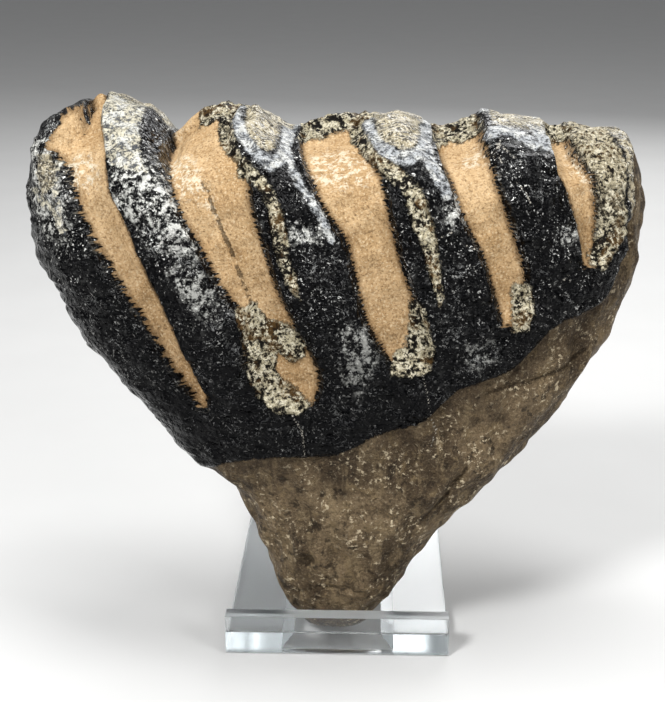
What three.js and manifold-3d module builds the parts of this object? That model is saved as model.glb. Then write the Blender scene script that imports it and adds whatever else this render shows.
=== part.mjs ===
// Fossil mammoth molar, stood on its root tip in a clear acrylic stand.
// Millimetres, +Z up. The origin is the bottom centre of the whole object's box.
import * as THREE from 'three';
import { mergeVertices } from 'three/addons/utils/BufferGeometryUtils.js';
import Module from 'manifold-3d';

const wasm = await Module();
wasm.setup();

// Driving dimensions of the stand
const STAND_WIDTH = 75;
const STAND_DEPTH = 120;
const SHEET = 5.7;
const LIP_HEIGHT = 13.9;
const REAR_CORNER = 5;
const BEND_INSIDE = 1.5;
const WINDOW_FRONT = 6.7;
const WINDOW_TOP_WIDTH = 29.5;
const WINDOW_FLARE = 4.3;
const REST_LEAN = THREE.MathUtils.degToRad(15);
const REST_BEND_INSIDE = 2;
const REST_BEND_Y = 57;

// Driving dimensions of the tooth
const TIP_HEIGHT = 1.4;
const TIP_Y = 22;
const LEAN = 0.14;
const BOW = 6;
const SECTION_POWER = 2.6;
const CROWN_ROUND_FROM = 148;
const CROWN_ROUND_POWER = 2.4;
const CREST_SETBACK = 7;
const VALLEY_DEPTH = 6;
const ENAMEL_STEP = 1.6;

// Side outlines of the tooth as [height, across]
const LEFT_OUTLINE = [
  [1.4, -6], [4, -11], [8, -15], [13, -19], [23, -23], [34, -26], [42, -30], [50, -34],
  [55, -38], [64, -51], [78, -63], [91, -76], [104, -88], [118, -96], [130, -102.5],
  [142, -104.5], [156, -105], [182, -105],
];
const RIGHT_OUTLINE = [
  [1.4, 6], [4, 9], [8, 12], [12, 16], [19, 21], [30, 28], [39, 34], [52, 47], [70, 65],
  [87, 78], [103, 90], [112, 94], [118, 97], [130, 99.5], [142, 100.5], [158, 101], [182, 101],
];

// Height of the worn top along the tooth as [across, height]
const CREST = [
  [-105, 154], [-103, 165], [-99, 174], [-94, 177], [-88, 182], [-82, 183], [-76, 181],
  [-71, 179.5], [-66, 178], [-62, 175], [-58, 169], [-55, 170.5], [-52, 173.5], [-46, 177],
  [-38, 179], [-34, 177.5], [-30, 176], [-26, 176.5], [-22, 174], [-19, 170.5], [-16, 169],
  [-13, 171], [-9, 173.5], [-4, 174.5], [6, 175.5], [11, 173.5], [21, 175.5], [25, 173.5],
  [28, 171.5], [31, 171], [35, 172.5], [43, 174], [47, 175], [57, 174.5], [62, 173],
  [70, 172.5], [84, 170.5], [92, 170], [95, 168], [98, 163.5], [101, 154],
];

// Half thickness of the tooth as [height, half thickness]
const HALF_THICKNESS = [
  [1.4, 0.6], [3, 6], [6, 11], [10, 14.5], [20, 20], [40, 27], [60, 33], [80, 37],
  [110, 40], [140, 40], [165, 38], [182, 36],
];

// Edges of the five cement valleys as [height, across], left and right edge of each
const VALLEYS = [
  {
    left: [
      [88, -45], [95, -51], [111, -61], [125, -70], [139, -79],
      [147, -84], [158, -88], [167, -91], [180, -85],
    ],
    right: [
      [88, -41.5], [96, -46], [109, -52], [122, -58], [135, -64],
      [146, -69], [155, -74], [166, -76], [180, -80],
    ],
    frontEnd: 88, backEnd: 99,
  },
  {
    left: [
      [91, -21], [97, -26], [105, -29], [116, -29], [126, -36],
      [137, -42], [154, -52], [165, -56], [180, -59],
    ],
    right: [
      [91, -7], [100, -6], [116, -14], [127, -19], [139, -23],
      [152, -27], [162, -29], [169, -34], [180, -37],
    ],
    frontEnd: 91, backEnd: 84,
  },
  {
    left: [
      [101, 19], [109, 14], [116, 10], [131, 6], [142, 3],
      [152, -4], [162, -9], [172, -13], [180, -15],
    ],
    right: [
      [103, 29], [110, 29], [119, 26], [126, 23], [138, 19],
      [150, 16], [159, 14], [167, 10], [180, 2],
    ],
    frontEnd: 102, backEnd: 92,
  },
  {
    left: [
      [115, 52], [125, 50], [137, 46], [148, 40], [162, 35],
      [174, 31], [180, 30],
    ],
    right: [
      [115, 56], [119, 57.5], [127, 60], [133, 59], [145, 55],
      [158, 50], [168, 48], [180, 44],
    ],
    frontEnd: 115, backEnd: 104,
  },
  {
    left: [
      [131, 78.5], [135, 79], [151, 75], [162, 71], [174, 69],
      [180, 68],
    ],
    right: [
      [131, 83], [141, 84], [150, 84], [162, 81], [173, 75],
      [180, 74],
    ],
    frontEnd: 131, backEnd: 121,
  },
];

// Below this height the plates run down to the root tip in fixed shares of the width
const FAN_HEIGHT = 60;
const FAN_SHARES = [0.07, 0.12, 0.23, 0.32, 0.45, 0.53, 0.66, 0.73, 0.86, 0.92];

// Lower edge of the black enamel as [across, height], and the right end it stops short of
const ENAMEL_EDGE = [
  [-60, 50], [-40, 66], [-34, 69], [-22, 72], [0, 74], [14, 81], [29, 86], [37, 94],
  [56, 101], [70, 114], [83, 118], [90, 126], [94, 140], [97, 170],
];

// Rows up the tooth and columns across each plate and valley
const TIP_ROWS = 5;
const SIDE_ROWS = 22;
const CROWN_ROWS = 9;
const END_PLATE_STEPS = [0, 0.03, 0.11, 0.25, 0.45, 0.7, 0.93];
const PLATE_STEPS = [0, 0.07, 0.28, 0.5, 0.72, 0.93];
const VALLEY_STEPS = [0, 0.2, 0.5, 0.8];

// Value at t of a smooth curve through [t, value] points
function through(points, t) {
  const last = points.length - 1;
  if (t <= points[0][0]) return points[0][1];
  if (t >= points[last][0]) return points[last][1];
  let i = 0;
  while (t > points[i + 1][0]) i += 1;
  const slope = (a, b) => (points[b][1] - points[a][1]) / (points[b][0] - points[a][0]);
  const here = slope(i, i + 1);
  const before = i > 0 ? (slope(i - 1, i) + here) / 2 : here;
  const after = i < last - 1 ? (here + slope(i + 1, i + 2)) / 2 : here;
  const span = points[i + 1][0] - points[i][0];
  const s = (t - points[i][0]) / span;
  return points[i][1] * (1 + 2 * s) * (1 - s) ** 2 + before * span * s * (1 - s) ** 2
    + points[i + 1][1] * s * s * (3 - 2 * s) + after * span * s * s * (s - 1);
}

const smooth = (from, to, value) => THREE.MathUtils.smoothstep(value, from, to);

// Knots across the tooth at a height: both outlines and the ten valley edges
function knots(height) {
  const left = through(LEFT_OUTLINE, height);
  const right = through(RIGHT_OUTLINE, height);
  const fan = (share, h) => {
    const a = through(LEFT_OUTLINE, h);
    return a + share * (through(RIGHT_OUTLINE, h) - a);
  };
  const edges = VALLEYS.flatMap((valley) => [valley.left, valley.right]).map((edge, i) => {
    if (height <= FAN_HEIGHT) return fan(FAN_SHARES[i], height);
    return through([[FAN_HEIGHT, fan(FAN_SHARES[i], FAN_HEIGHT)], ...edge], height);
  });
  return [left, ...edges, right];
}

// Soft lumps on the surface, a sum of slow waves, in about -1 to 1
function lumps(x, y, z) {
  return 0.42 * Math.sin(0.31 * x + 0.12 * z + 1.3) * Math.cos(0.27 * z - 0.19 * y)
    + 0.34 * Math.sin(0.47 * z - 0.23 * x + 0.3 * y + 2.1)
    + 0.24 * Math.cos(0.52 * x + 0.41 * z - 0.36 * y + 0.4);
}

// How far the surface sits above or below the plain form
function relief(column, x, y, z, top, side) {
  const valleyEnd = (i) => (side > 0 ? VALLEYS[i].backEnd : VALLEYS[i].frontEnd);
  const open = (i) => (i < 0 || i > 4 ? 0 : smooth(valleyEnd(i) - 2, valleyEnd(i) + 5, z));
  const interval = Math.min(Math.floor(column), 10);
  const along = column - interval;
  const rearTop = side > 0 ? top * 0.5 : 0;
  let height;
  if (interval % 2 === 1) {
    const valley = (interval - 1) / 2;
    const floor = 0.75 + 0.25 * Math.sqrt(Math.max(0, 4 * along * (1 - along)));
    height = -VALLEY_DEPTH * open(valley) * floor * (1 - rearTop);
  } else {
    const valley = along < 0.5 ? interval / 2 - 1 : interval / 2;
    const edge = along < 0.5 ? along : 1 - along;
    const flank = 0.5 * (1 - smooth(0, 0.08, edge)) + 0.25 * (1 - smooth(0, 0.45, edge));
    height = -VALLEY_DEPTH * open(valley) * flank * (1 - rearTop);
    height -= 1.4 * top * smooth(0.15, 0.5, edge);
  }
  const enamel = enamelShare(x, z, side);
  const underEdge = through(ENAMEL_EDGE, x) - z;
  const rootLumps = 1.3 * lumps(0.7 * x, y, 0.6 * z) * smooth(2, 25, z);
  const root = rootLumps - ENAMEL_STEP * (1 - smooth(4, 26, underEdge));
  return enamel * (height + 0.8 * lumps(x, y, z)) + (1 - enamel) * root;
}

// 1 on the enamel crown and 0 on the root
function enamelShare(x, z, side) {
  const shift = side > 0 ? 5 * Math.sin(0.05 * x + 1) : 0;
  return smooth(-1.5, 1.5, z - through(ENAMEL_EDGE, x) - shift);
}

// Front-to-back middle of the tooth
function middle(x, z) {
  return TIP_Y + LEAN * (z - TIP_HEIGHT) + BOW * (x / 100) ** 2 * smooth(40, 120, z);
}

// Sideways wander of the plates on the back, so that they don't repeat the front
function rearSway(column, z) {
  return 3 * Math.sin(0.045 * z + 0.6 * column) * smooth(20, 70, z);
}

// Point of the tooth at a column, a share of the way up and a side, -1 front or 1 back
function toothPoint(column, share, side) {
  const interval = Math.min(Math.floor(column), 10);
  const along = column - interval;
  const across = (z) => {
    const k = knots(z);
    return k[interval] + along * (k[interval + 1] - k[interval]);
  };
  const crest = through(CREST, across(170));
  const z = rowHeight(share, crest);
  const top = Math.max(0, (z - CROWN_ROUND_FROM) / (crest - CROWN_ROUND_FROM));
  const k = knots(z);
  const half = (k[11] - k[0]) / 2;
  let x = across(z);
  if (side > 0) x += rearSway(column, z) * (1 - top) * (1 - ((x - k[0]) / half - 1) ** 2);
  const offset = THREE.MathUtils.clamp((x - k[0]) / half - 1, -1, 1);
  const girth = (1 - Math.abs(offset) ** SECTION_POWER) ** (1 / SECTION_POWER);
  const roundTop = Math.max(0, 1 - top ** CROWN_ROUND_POWER) ** (1 / CROWN_ROUND_POWER);
  const thickness = through(HALF_THICKNESS, z) * girth * roundTop;
  const y = middle(x, z) + side * thickness + CREST_SETBACK * girth * top ** 2;
  const outward = new THREE.Vector3(
    Math.sign(offset) * Math.abs(offset) ** (SECTION_POWER - 1) * 40 / half,
    side * girth ** (SECTION_POWER - 1) * roundTop,
    1.3 * top ** 3 - 0.8 * (1 - smooth(TIP_HEIGHT, 12, z)),
  ).normalize();
  const lift = relief(column, x, y, z, top ** 4, side);
  return new THREE.Vector3(x, y, z).addScaledVector(outward, lift);
}

// Height of a row: close rows at the tip and over the crown, even rows between
function rowHeight(share, crest) {
  const tipTop = 12;
  if (share <= 1) return TIP_HEIGHT + (tipTop - TIP_HEIGHT) * share ** 1.6;
  if (share <= 2) return tipTop + (Math.min(CROWN_ROUND_FROM, crest - 4) - tipTop) * (share - 1);
  const start = Math.min(CROWN_ROUND_FROM, crest - 4);
  return start + (crest - start) * Math.sin((share - 2) * Math.PI / 2) ** (2 / CROWN_ROUND_POWER);
}

function toothGeometry() {
  const columns = [];
  for (let i = 0; i <= 10; i += 1) {
    let steps = i % 2 ? VALLEY_STEPS : PLATE_STEPS;
    if (i === 0) steps = END_PLATE_STEPS;
    if (i === 10) steps = [0, ...END_PLATE_STEPS.slice(1).map((s) => 1 - s).reverse()];
    steps.forEach((s) => columns.push(i + s));
  }
  columns.push(11);
  const rows = [];
  for (let i = 0; i < TIP_ROWS; i += 1) rows.push(i / TIP_ROWS);
  for (let i = 0; i < SIDE_ROWS; i += 1) rows.push(1 + i / SIDE_ROWS);
  for (let i = 0; i <= CROWN_ROWS; i += 1) rows.push(2 + i / CROWN_ROWS);
  const profile = [
    ...rows.map((share) => [share, -1]),
    ...rows.slice(0, -1).reverse().map((share) => [share, 1]),
  ];
  const positions = [];
  columns.forEach((column) => profile.forEach(([share, side]) => {
    const end = column === 0 || column === 11;
    const tip = share === 0;
    const p = toothPoint(column, share, end || tip ? -1 : side);
    positions.push(p.x, p.y, p.z);
  }));
  const index = [];
  const count = profile.length;
  for (let c = 0; c < columns.length - 1; c += 1) {
    for (let r = 0; r < count - 1; r += 1) {
      const a = c * count + r;
      const b = a + count;
      index.push(a, b, a + 1, b, b + 1, a + 1);
    }
  }
  const geometry = new THREE.BufferGeometry();
  geometry.setAttribute('position', new THREE.Float32BufferAttribute(positions, 3));
  geometry.setIndex(index);
  return withoutSlivers(mergeVertices(geometry, 1e-3));
}

// The same geometry without triangles that have two corners in one place
function withoutSlivers(geometry) {
  const { array } = geometry.index;
  const kept = [];
  for (let i = 0; i < array.length; i += 3) {
    const [a, b, c] = [array[i], array[i + 1], array[i + 2]];
    if (a !== b && b !== c && c !== a) kept.push(a, b, c);
  }
  geometry.setIndex(kept);
  return geometry;
}

// A closed geometry as a manifold solid
function solid(geometry) {
  const bare = geometry.clone();
  const extra = Object.keys(bare.attributes).filter((name) => name !== 'position');
  extra.forEach((name) => bare.deleteAttribute(name));
  const merged = mergeVertices(bare, 1e-4);
  return new wasm.Manifold(new wasm.Mesh({
    numProp: 3,
    vertProperties: new Float32Array(merged.attributes.position.array),
    triVerts: new Uint32Array(merged.index.array),
  }));
}

// A manifold solid as a geometry
function geometryOf(manifold) {
  const mesh = manifold.getMesh();
  const geometry = new THREE.BufferGeometry();
  geometry.setAttribute('position', new THREE.BufferAttribute(new Float32Array(mesh.vertProperties), 3));
  geometry.setIndex(new THREE.BufferAttribute(new Uint32Array(mesh.triVerts), 1));
  return geometry;
}

// A section in the front-to-back plane, drawn as (y, z), carried across the width
function acrossWidth(shape, width) {
  const geometry = new THREE.ExtrudeGeometry(shape, { depth: width, bevelEnabled: false, curveSegments: 8 });
  geometry.applyMatrix4(new THREE.Matrix4().makeBasis(
    new THREE.Vector3(0, 1, 0), new THREE.Vector3(0, 0, 1), new THREE.Vector3(1, 0, 0),
  ));
  return geometry.translate(-width / 2, 0, 0);
}

// Lip and base plate, one bent sheet with a small radius inside the front bend
function plateGeometry() {
  const shape = new THREE.Shape();
  shape.moveTo(1.2, 0);
  shape.lineTo(STAND_DEPTH, 0);
  shape.lineTo(STAND_DEPTH, SHEET);
  shape.lineTo(SHEET + BEND_INSIDE, SHEET);
  shape.absarc(SHEET + BEND_INSIDE, SHEET + BEND_INSIDE, BEND_INSIDE, -Math.PI / 2, Math.PI, true);
  shape.lineTo(SHEET, LIP_HEIGHT);
  shape.lineTo(0, LIP_HEIGHT);
  shape.lineTo(0, 1.2);
  shape.absarc(1.2, 1.2, 1.2, Math.PI, 1.5 * Math.PI, false);
  return acrossWidth(shape, STAND_WIDTH);
}

// Outline seen from above, with rounded rear corners
function planGeometry() {
  const half = STAND_WIDTH / 2;
  const shape = new THREE.Shape();
  shape.moveTo(-half, -1);
  shape.lineTo(half, -1);
  shape.lineTo(half, STAND_DEPTH - REAR_CORNER);
  shape.absarc(half - REAR_CORNER, STAND_DEPTH - REAR_CORNER, REAR_CORNER, 0, Math.PI / 2, false);
  shape.lineTo(-half + REAR_CORNER, STAND_DEPTH);
  shape.absarc(-half + REAR_CORNER, STAND_DEPTH - REAR_CORNER, REAR_CORNER, Math.PI / 2, Math.PI, false);
  return new THREE.ExtrudeGeometry(shape, { depth: LIP_HEIGHT + 2, bevelEnabled: false, curveSegments: 8 })
    .translate(0, 0, -1);
}

// Window in the base: wider at the underside than at the top, cut square at both ends
function windowGeometry() {
  const top = WINDOW_TOP_WIDTH / 2;
  const slope = WINDOW_FLARE / SHEET;
  const shape = new THREE.Shape();
  shape.moveTo(-top - WINDOW_FLARE - slope, -1);
  shape.lineTo(top + WINDOW_FLARE + slope, -1);
  shape.lineTo(top - slope, SHEET + 1);
  shape.lineTo(-top + slope, SHEET + 1);
  const length = REST_BEND_Y - WINDOW_FRONT;
  return new THREE.ExtrudeGeometry(shape, { depth: length, bevelEnabled: false })
    .rotateX(Math.PI / 2).translate(0, WINDOW_FRONT + length, 0);
}

// Tongue cut from the window and bent up behind the tooth
function restGeometry() {
  const inner = REST_BEND_INSIDE;
  const outer = inner + SHEET;
  const straight = REST_BEND_Y - WINDOW_FRONT - (Math.PI / 2 + REST_LEAN) * (inner + SHEET / 2);
  const centre = new THREE.Vector2(REST_BEND_Y, SHEET + inner);
  const up = new THREE.Vector2(Math.sin(REST_LEAN), Math.cos(REST_LEAN));
  const out = new THREE.Vector2(-up.y, up.x);
  const end = (radius) => centre.clone().addScaledVector(out, radius).addScaledVector(up, straight);
  const shape = new THREE.Shape();
  shape.moveTo(REST_BEND_Y + 4, 0);
  shape.lineTo(REST_BEND_Y + 4, SHEET);
  shape.lineTo(REST_BEND_Y, SHEET);
  shape.absarc(centre.x, centre.y, inner, -Math.PI / 2, Math.PI - REST_LEAN, true);
  shape.lineTo(end(inner).x, end(inner).y);
  shape.lineTo(end(outer).x, end(outer).y);
  shape.absarc(centre.x, centre.y, outer, Math.PI - REST_LEAN, 1.5 * Math.PI, false);
  return acrossWidth(shape, WINDOW_TOP_WIDTH - 1);
}

function standGeometry() {
  return geometryOf(solid(plateGeometry())
    .intersect(solid(planGeometry()))
    .subtract(solid(windowGeometry()))
    .add(solid(restGeometry())));
}

const tooth = new THREE.Mesh(
  toothGeometry(),
  new THREE.MeshStandardMaterial({ color: 0x4a3d30, roughness: 0.6, metalness: 0 }),
);
tooth.name = 'mammoth_tooth';

const stand = new THREE.Mesh(
  standGeometry(),
  new THREE.MeshStandardMaterial({
    color: 0xdfe6ea, roughness: 0.05, metalness: 0, transparent: true, opacity: 0.35,
  }),
);
stand.name = 'acrylic_stand';

const part = new THREE.Group();
part.add(tooth, stand);
const box = new THREE.Box3().setFromObject(part);
part.position.set(-(box.min.x + box.max.x) / 2, -(box.min.y + box.max.y) / 2, -box.min.z);
part.updateMatrixWorld(true);

export default part;
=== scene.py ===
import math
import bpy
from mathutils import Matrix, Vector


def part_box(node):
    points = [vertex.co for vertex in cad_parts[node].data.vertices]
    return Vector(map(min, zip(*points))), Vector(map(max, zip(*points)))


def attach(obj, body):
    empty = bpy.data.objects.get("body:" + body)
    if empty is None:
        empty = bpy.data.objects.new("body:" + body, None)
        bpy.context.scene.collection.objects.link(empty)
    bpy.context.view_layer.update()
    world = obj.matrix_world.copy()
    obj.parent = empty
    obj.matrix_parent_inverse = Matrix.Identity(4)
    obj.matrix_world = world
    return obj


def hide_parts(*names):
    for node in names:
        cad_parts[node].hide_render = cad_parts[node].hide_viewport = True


bl_info = {
    "name": "Fossil mammoth tooth on a clear stand",
    "version": (1, 0, 0),
    "blender": (4, 5, 0),
    "location": "3D View > Sidebar > Fossil",
    "description": "A worn mammoth molar with its bent clear stand, floor, lights and camera",
    "category": "Add Mesh",
}

import bpy
import numpy as np
from bpy.props import FloatProperty, FloatVectorProperty, IntProperty, PointerProperty
from mathutils import Matrix, Vector

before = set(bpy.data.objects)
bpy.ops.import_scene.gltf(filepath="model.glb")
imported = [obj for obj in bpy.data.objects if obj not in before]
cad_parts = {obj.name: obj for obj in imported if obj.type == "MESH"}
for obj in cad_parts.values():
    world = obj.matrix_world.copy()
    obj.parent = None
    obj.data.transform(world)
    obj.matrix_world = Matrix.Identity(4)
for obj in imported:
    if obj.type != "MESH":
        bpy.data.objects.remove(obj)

MM = 0.001
STAND_LOW, STAND_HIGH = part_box("acrylic_stand")
TOOTH_LOW, TOOTH_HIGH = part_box("mammoth_tooth")
# The shapes are worked out in mm from the middle of the lip's front edge, on the table
ORIGIN = np.array([STAND_LOW.x / MM + 37.5, STAND_LOW.y / MM, 0.0])

# Stand, in mm
REAR_CORNER = 5.0
BEND_INSIDE = 1.5
WINDOW_FRONT = 6.7
WINDOW_TOP_WIDTH = 29.5
WINDOW_FLARE = 4.3
REST_LEAN = math.radians(15)
REST_BEND_INSIDE = 2.0
REST_BEND_Y = 57.0

# Tooth, in mm
TIP_HEIGHT = 1.4
TIP_Y = 22.0
LEAN = 0.14
BOW = 6.0
SECTION_POWER = 2.6
CROWN_ROUND_FROM = 148.0
CROWN_ROUND_POWER = 2.4
CREST_SETBACK = 7.0
VALLEY_DEPTH = 6.0
ENAMEL_STEP = 1.6
FAN_HEIGHT = 60.0
FAN_SHARES = (0.07, 0.12, 0.23, 0.32, 0.45, 0.53, 0.66, 0.73, 0.86, 0.92)

# Side outlines of the tooth as (height, across)
LEFT_OUTLINE = (
    (1.4, -6), (4, -11), (8, -15), (13, -19), (23, -23), (34, -26), (42, -30), (50, -34),
    (55, -38), (64, -51), (78, -63), (91, -76), (104, -88), (118, -96), (130, -102.5),
    (142, -104.5), (156, -105), (182, -105),
)
RIGHT_OUTLINE = (
    (1.4, 6), (4, 9), (8, 12), (12, 16), (19, 21), (30, 28), (39, 34), (52, 47), (70, 65),
    (87, 78), (103, 90), (112, 94), (118, 97), (130, 99.5), (142, 100.5), (158, 101), (182, 101),
)
# Height of the worn top as (across, height)
CREST = (
    (-105, 154), (-103, 165), (-99, 174), (-94, 177), (-88, 182), (-82, 183), (-76, 181),
    (-71, 179.5), (-66, 178), (-62, 175), (-58, 169), (-55, 170.5), (-52, 173.5), (-46, 177),
    (-38, 179), (-34, 177.5), (-30, 176), (-26, 176.5), (-22, 174), (-19, 170.5), (-16, 169),
    (-13, 171), (-9, 173.5), (-4, 174.5), (6, 175.5), (11, 173.5), (21, 175.5), (25, 173.5),
    (28, 171.5), (31, 171), (35, 172.5), (43, 174), (47, 175), (57, 174.5), (62, 173),
    (70, 172.5), (84, 170.5), (92, 170), (95, 168), (98, 163.5), (101, 154),
)
# Half thickness of the tooth as (height, half thickness)
HALF_THICKNESS = (
    (1.4, 0.6), (3, 6), (6, 11), (10, 14.5), (20, 20), (40, 27), (60, 33), (80, 37),
    (110, 40), (140, 40), (165, 38), (182, 36),
)
# Left and right edge of each cement valley as (height, across)
VALLEY_EDGES = (
    ((88, -45), (95, -51), (111, -61), (125, -70), (139, -79), (147, -84), (158, -88),
     (167, -91), (180, -85)),
    ((88, -41.5), (96, -46), (109, -52), (122, -58), (135, -64), (146, -69), (155, -74),
     (166, -76), (180, -80)),
    ((91, -21), (97, -26), (105, -29), (116, -29), (126, -36), (137, -42), (154, -52),
     (165, -56), (180, -59)),
    ((91, -7), (100, -6), (116, -14), (127, -19), (139, -23), (152, -27), (162, -29),
     (169, -34), (180, -37)),
    ((101, 19), (109, 14), (116, 10), (131, 6), (142, 3), (152, -4), (162, -9), (172, -13),
     (180, -15)),
    ((103, 29), (110, 29), (119, 26), (126, 23), (138, 19), (150, 16), (159, 14), (167, 10),
     (180, 2)),
    ((115, 52), (125, 50), (137, 46), (148, 40), (162, 35), (174, 31), (180, 30)),
    ((115, 56), (119, 57.5), (127, 60), (133, 59), (145, 55), (158, 50), (168, 48), (180, 44)),
    ((131, 78.5), (135, 79), (151, 75), (162, 71), (174, 69), (180, 68)),
    ((131, 83), (141, 84), (150, 84), (162, 81), (173, 75), (180, 74)),
)
FRONT_ENDS = (88, 91, 102, 115, 131)
BACK_ENDS = (99, 84, 92, 104, 121)
# Lower edge of the black enamel as (across, height)
ENAMEL_EDGE = (
    (-60, 50), (-40, 66), (-34, 69), (-22, 72), (0, 74), (14, 81), (29, 86), (37, 94),
    (56, 101), (70, 114), (83, 118), (90, 126), (94, 140), (97, 170),
)

# Patches on the front face, each a closed outline as (across, height)
CRUST_PATCHES = (
    ((-46, 188), (-41, 179), (-39, 173), (-36, 168), (-32, 165), (-31, 160), (-26, 159), (-23, 156),
     (-21, 151), (-20, 145), (-19, 139), (-17, 133), (-14, 127), (-11, 124), (-12, 129), (-14, 136),
     (-16, 150), (-20, 158), (-27, 164), (-31, 167), (-35, 175), (-38, 179), (-39, 188)),
    ((1, 188), (3, 175), (7, 170), (11, 164), (15, 161), (20, 157), (22, 153), (23, 147), (26, 142),
     (28, 134), (32, 122), (33, 125), (32, 134), (30, 146), (28, 153), (26, 158), (20, 163), (16, 165),
     (13, 166), (10, 170), (7, 174), (5, 188)),
    ((-32, 120), (-30, 113), (-29, 105), (-28, 98), (-24, 92), (-19, 88), (-12, 88), (-8, 91),
     (-12, 94), (-17, 97), (-20, 101), (-19, 106), (-14, 103), (-10, 105), (-10, 110), (-14, 115),
     (-22, 117), (-26, 122)),
    ((23, 123), (27, 123), (29, 115), (31, 108), (29, 101), (23, 100), (17, 101), (18, 106),
     (22, 109), (23, 116)),
    ((56, 127), (61, 127), (62, 120), (60, 113), (55, 113), (56, 120)),
    ((74, 188), (75, 173), (78, 168), (81, 163), (83, 158), (84, 152), (84.5, 146), (84, 139), (81, 132),
     (85, 129), (88, 135), (93, 140), (91, 151), (92, 157), (93, 162), (90, 168), (87, 188)),
)
# Where the cement runs over the first plate's top left
CEMENT_PATCHES = (
    ((-97, 165.5), (-92.5, 165), (-89, 160), (-86, 170), (-86, 179), (-90.5, 177), (-93, 175),
     (-93.5, 171)),
)
WEAR_PATCHES = (
    ((-81, 192), (-70, 192), (-65, 175), (-64, 170), (-62, 164), (-60, 161), (-67, 162), (-72, 163),
     (-76, 168), (-79, 175)),
    ((62, 174), (70, 173.5), (72, 167.5), (69, 165.5), (64, 168)),
)
INNER_PATCHES = (
    ((-33, 188), (-31, 175), (-29, 172), (-26, 169.5), (-22, 167.5), (-20, 168), (-20, 172), (-21, 188)),
    ((10, 188), (12, 172), (15, 169.5), (19, 168), (24, 168.5), (26, 171), (26, 188)),
    ((-99, 163), (-94, 164), (-92, 159), (-92, 155), (-96, 151), (-98, 154)),
    ((86, 188), (90, 170), (93, 165), (93, 152), (94, 141), (98, 139), (102, 143), (101, 158), (100, 188)),
    ((49, 188), (50, 174), (60, 172.5), (70, 172), (73, 188)),
)
# Middle lines of the worn enamel bands, and half the width of each in mm
WEAR_BANDS = (
    (((-38, 188), (-37, 177), (-32, 173), (-28.5, 169.5), (-24.5, 166), (-20.5, 164), (-17.5, 165.5),
      (-17, 168.5), (-18, 173), (-19, 188)), 1.6),
    (((7.5, 188), (8.5, 173), (11.5, 170.5), (14.5, 167.5), (18.5, 166), (22.5, 166), (26.5, 167.5),
      (28.5, 171), (28, 188)), 1.8),
    (((-16.5, 166), (-14, 162), (-11.5, 158.5), (-7.5, 153.5), (-4, 148), (-1.5, 142.5)), 1.0),
    (((28, 167), (29.5, 163.5), (32, 159.5), (34, 156)), 1.7),
    (((-91, 162), (-92, 157), (-91, 151), (-89.5, 145)), 0.7),
    (((-100, 152), (-96, 149), (-91.5, 146), (-88, 141)), 1.2),
    (((48.5, 172), (52, 172.5), (56, 172), (59.5, 170.3), (63, 168.5)), 1.2),
)
DUST_PATCHES = (
    ((-57, 164), (-56, 167), (-49, 169), (-46, 164), (-42, 159), (-40, 154), (-38, 147), (-41, 151),
     (-45, 153), (-50, 154), (-53, 159), (-56, 160)),
    ((-10, 168), (-4, 171), (2, 171), (8, 168), (11, 164), (9, 158), (2, 157), (-4, 157), (-8, 161)),
    ((39, 167), (43, 169), (46, 171), (48, 168), (49, 164), (46, 165), (40, 164)),
    ((-90, 162), (-87, 166), (-80, 164), (-79, 156), (-83, 154), (-88, 154)),
    ((76, 169), (79, 168), (81, 161), (83, 154), (81, 154), (78, 162)),
)
MOTTLE_PATCHES = (
    ((-73, 163), (-60, 164), (-56, 159), (-52, 153), (-48, 146), (-44, 136), (-49, 137), (-58, 140),
     (-63, 146), (-70, 151), (-72, 157)),
    ((-101, 165), (-95, 170), (-93, 164), (-91, 154), (-87, 144), (-88, 137), (-95, 140), (-101, 149)),
    ((2, 115), (7, 115), (12, 110), (11, 102), (7, 95), (4, 99)),
    ((41, 109), (48, 110), (49, 104), (45, 102), (41, 105)),
    ((34, 154), (38, 154), (40, 148), (35, 147)),
    ((69, 142), (73, 144), (78, 145), (80, 142), (72, 140)),
    ((-14, 146), (-6, 146), (-6, 142), (-11, 141), (-14, 143)),
    ((-52, 132), (-44, 133), (-39, 126), (-38, 118), (-42, 118), (-48, 125)),
)
# Fine lines on the front face as (across, height)
CRACKS = (
    ((-14, 88), (-11, 82), (-10, 73)),
    ((27, 101), (29, 92), (30, 87), (31, 82)),
    ((30, 86), (32, 82), (30, 76)),
    ((-91, 156), (-92, 151), (-90, 148), (-88, 143)),
    ((50, 169.5), (53, 167.5), (56, 165)),
    ((51.5, 170), (50, 167.5), (52, 163)),
    ((56, 158.5), (58.5, 155.5), (60, 152.5)),
    ((70.5, 128), (73, 129.5), (73.5, 127)),
    ((32, 143.5), (35.5, 145)),
    ((40, 140.5), (44.5, 138.5)),
)
GROOVES = (
    ((-43, 158), (-38, 147), (-35, 141), (-31, 131), (-27, 121)),
    ((48, 93), (56, 95), (65, 96), (75, 99), (81, 103)),
    ((42, 68), (34, 56), (27, 47)),
    ((-14, 20), (-6, 23), (3, 23), (10, 21)),
)


def through(points, t):
    """Smooth curve through (t, value) points: a cubic between each two, whose slope at a point
    is the mean of the slopes of the two straight lines that meet there, held flat outside."""
    points = np.asarray(points, float)
    where, value = points[:, 0], points[:, 1]
    slope = np.diff(value) / np.diff(where)
    tangent = np.concatenate([slope[:1], (slope[:-1] + slope[1:]) / 2, slope[-1:]])
    t = np.clip(t, where[0], where[-1])
    i = np.clip(np.searchsorted(where, t, side="left") - 1, 0, len(where) - 2)
    span = where[i + 1] - where[i]
    s = (t - where[i]) / span
    return (
        value[i] * (1 + 2 * s) * (1 - s) ** 2
        + tangent[i] * span * s * (1 - s) ** 2
        + value[i + 1] * s * s * (3 - 2 * s)
        + tangent[i + 1] * span * s * s * (s - 1)
    )


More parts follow.
